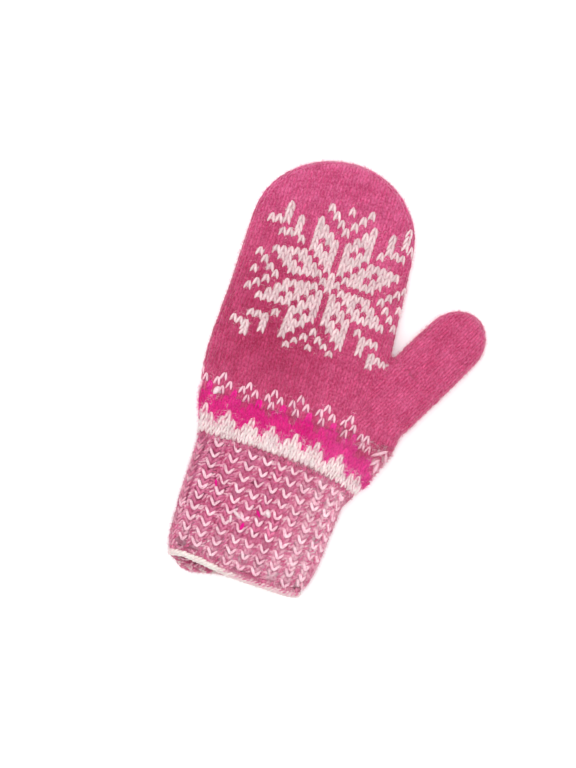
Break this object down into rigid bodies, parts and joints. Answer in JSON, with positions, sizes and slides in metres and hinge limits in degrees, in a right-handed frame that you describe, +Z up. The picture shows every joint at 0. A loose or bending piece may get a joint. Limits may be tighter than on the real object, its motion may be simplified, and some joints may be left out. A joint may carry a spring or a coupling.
{
  "type": "wool mitten",
  "caption": "Knitted wool mitten lying flat, with a ribbed striped cuff, a set-in thumb on a gusset and a knitted star on the back.",
  "frame": {"origin": "the middle of the mitten's box on the surface it lies on", "axes": "+Y from the cuff to the fingertips, +X towards the thumb, +Z up from the palm to the back of the hand"},
  "size_m": [0.162, 0.2686, 0.0178],
  "materials": {
    "pink_wool": "brushed heather wool, matte",
    "hot_pink_wool": "fluffy brushed wool, matte",
    "rib_wool": "pink and cream striped rib, matte",
    "cream_wool": "cream wool, matte"
  },
  "bodies": {
    "root": {"cuff_edge": "cream_wool", "cuff": "rib_wool", "wrist_band": "hot_pink_wool", "hand": "pink_wool", "thumb": "pink_wool"}
  },
  "joints": []
}
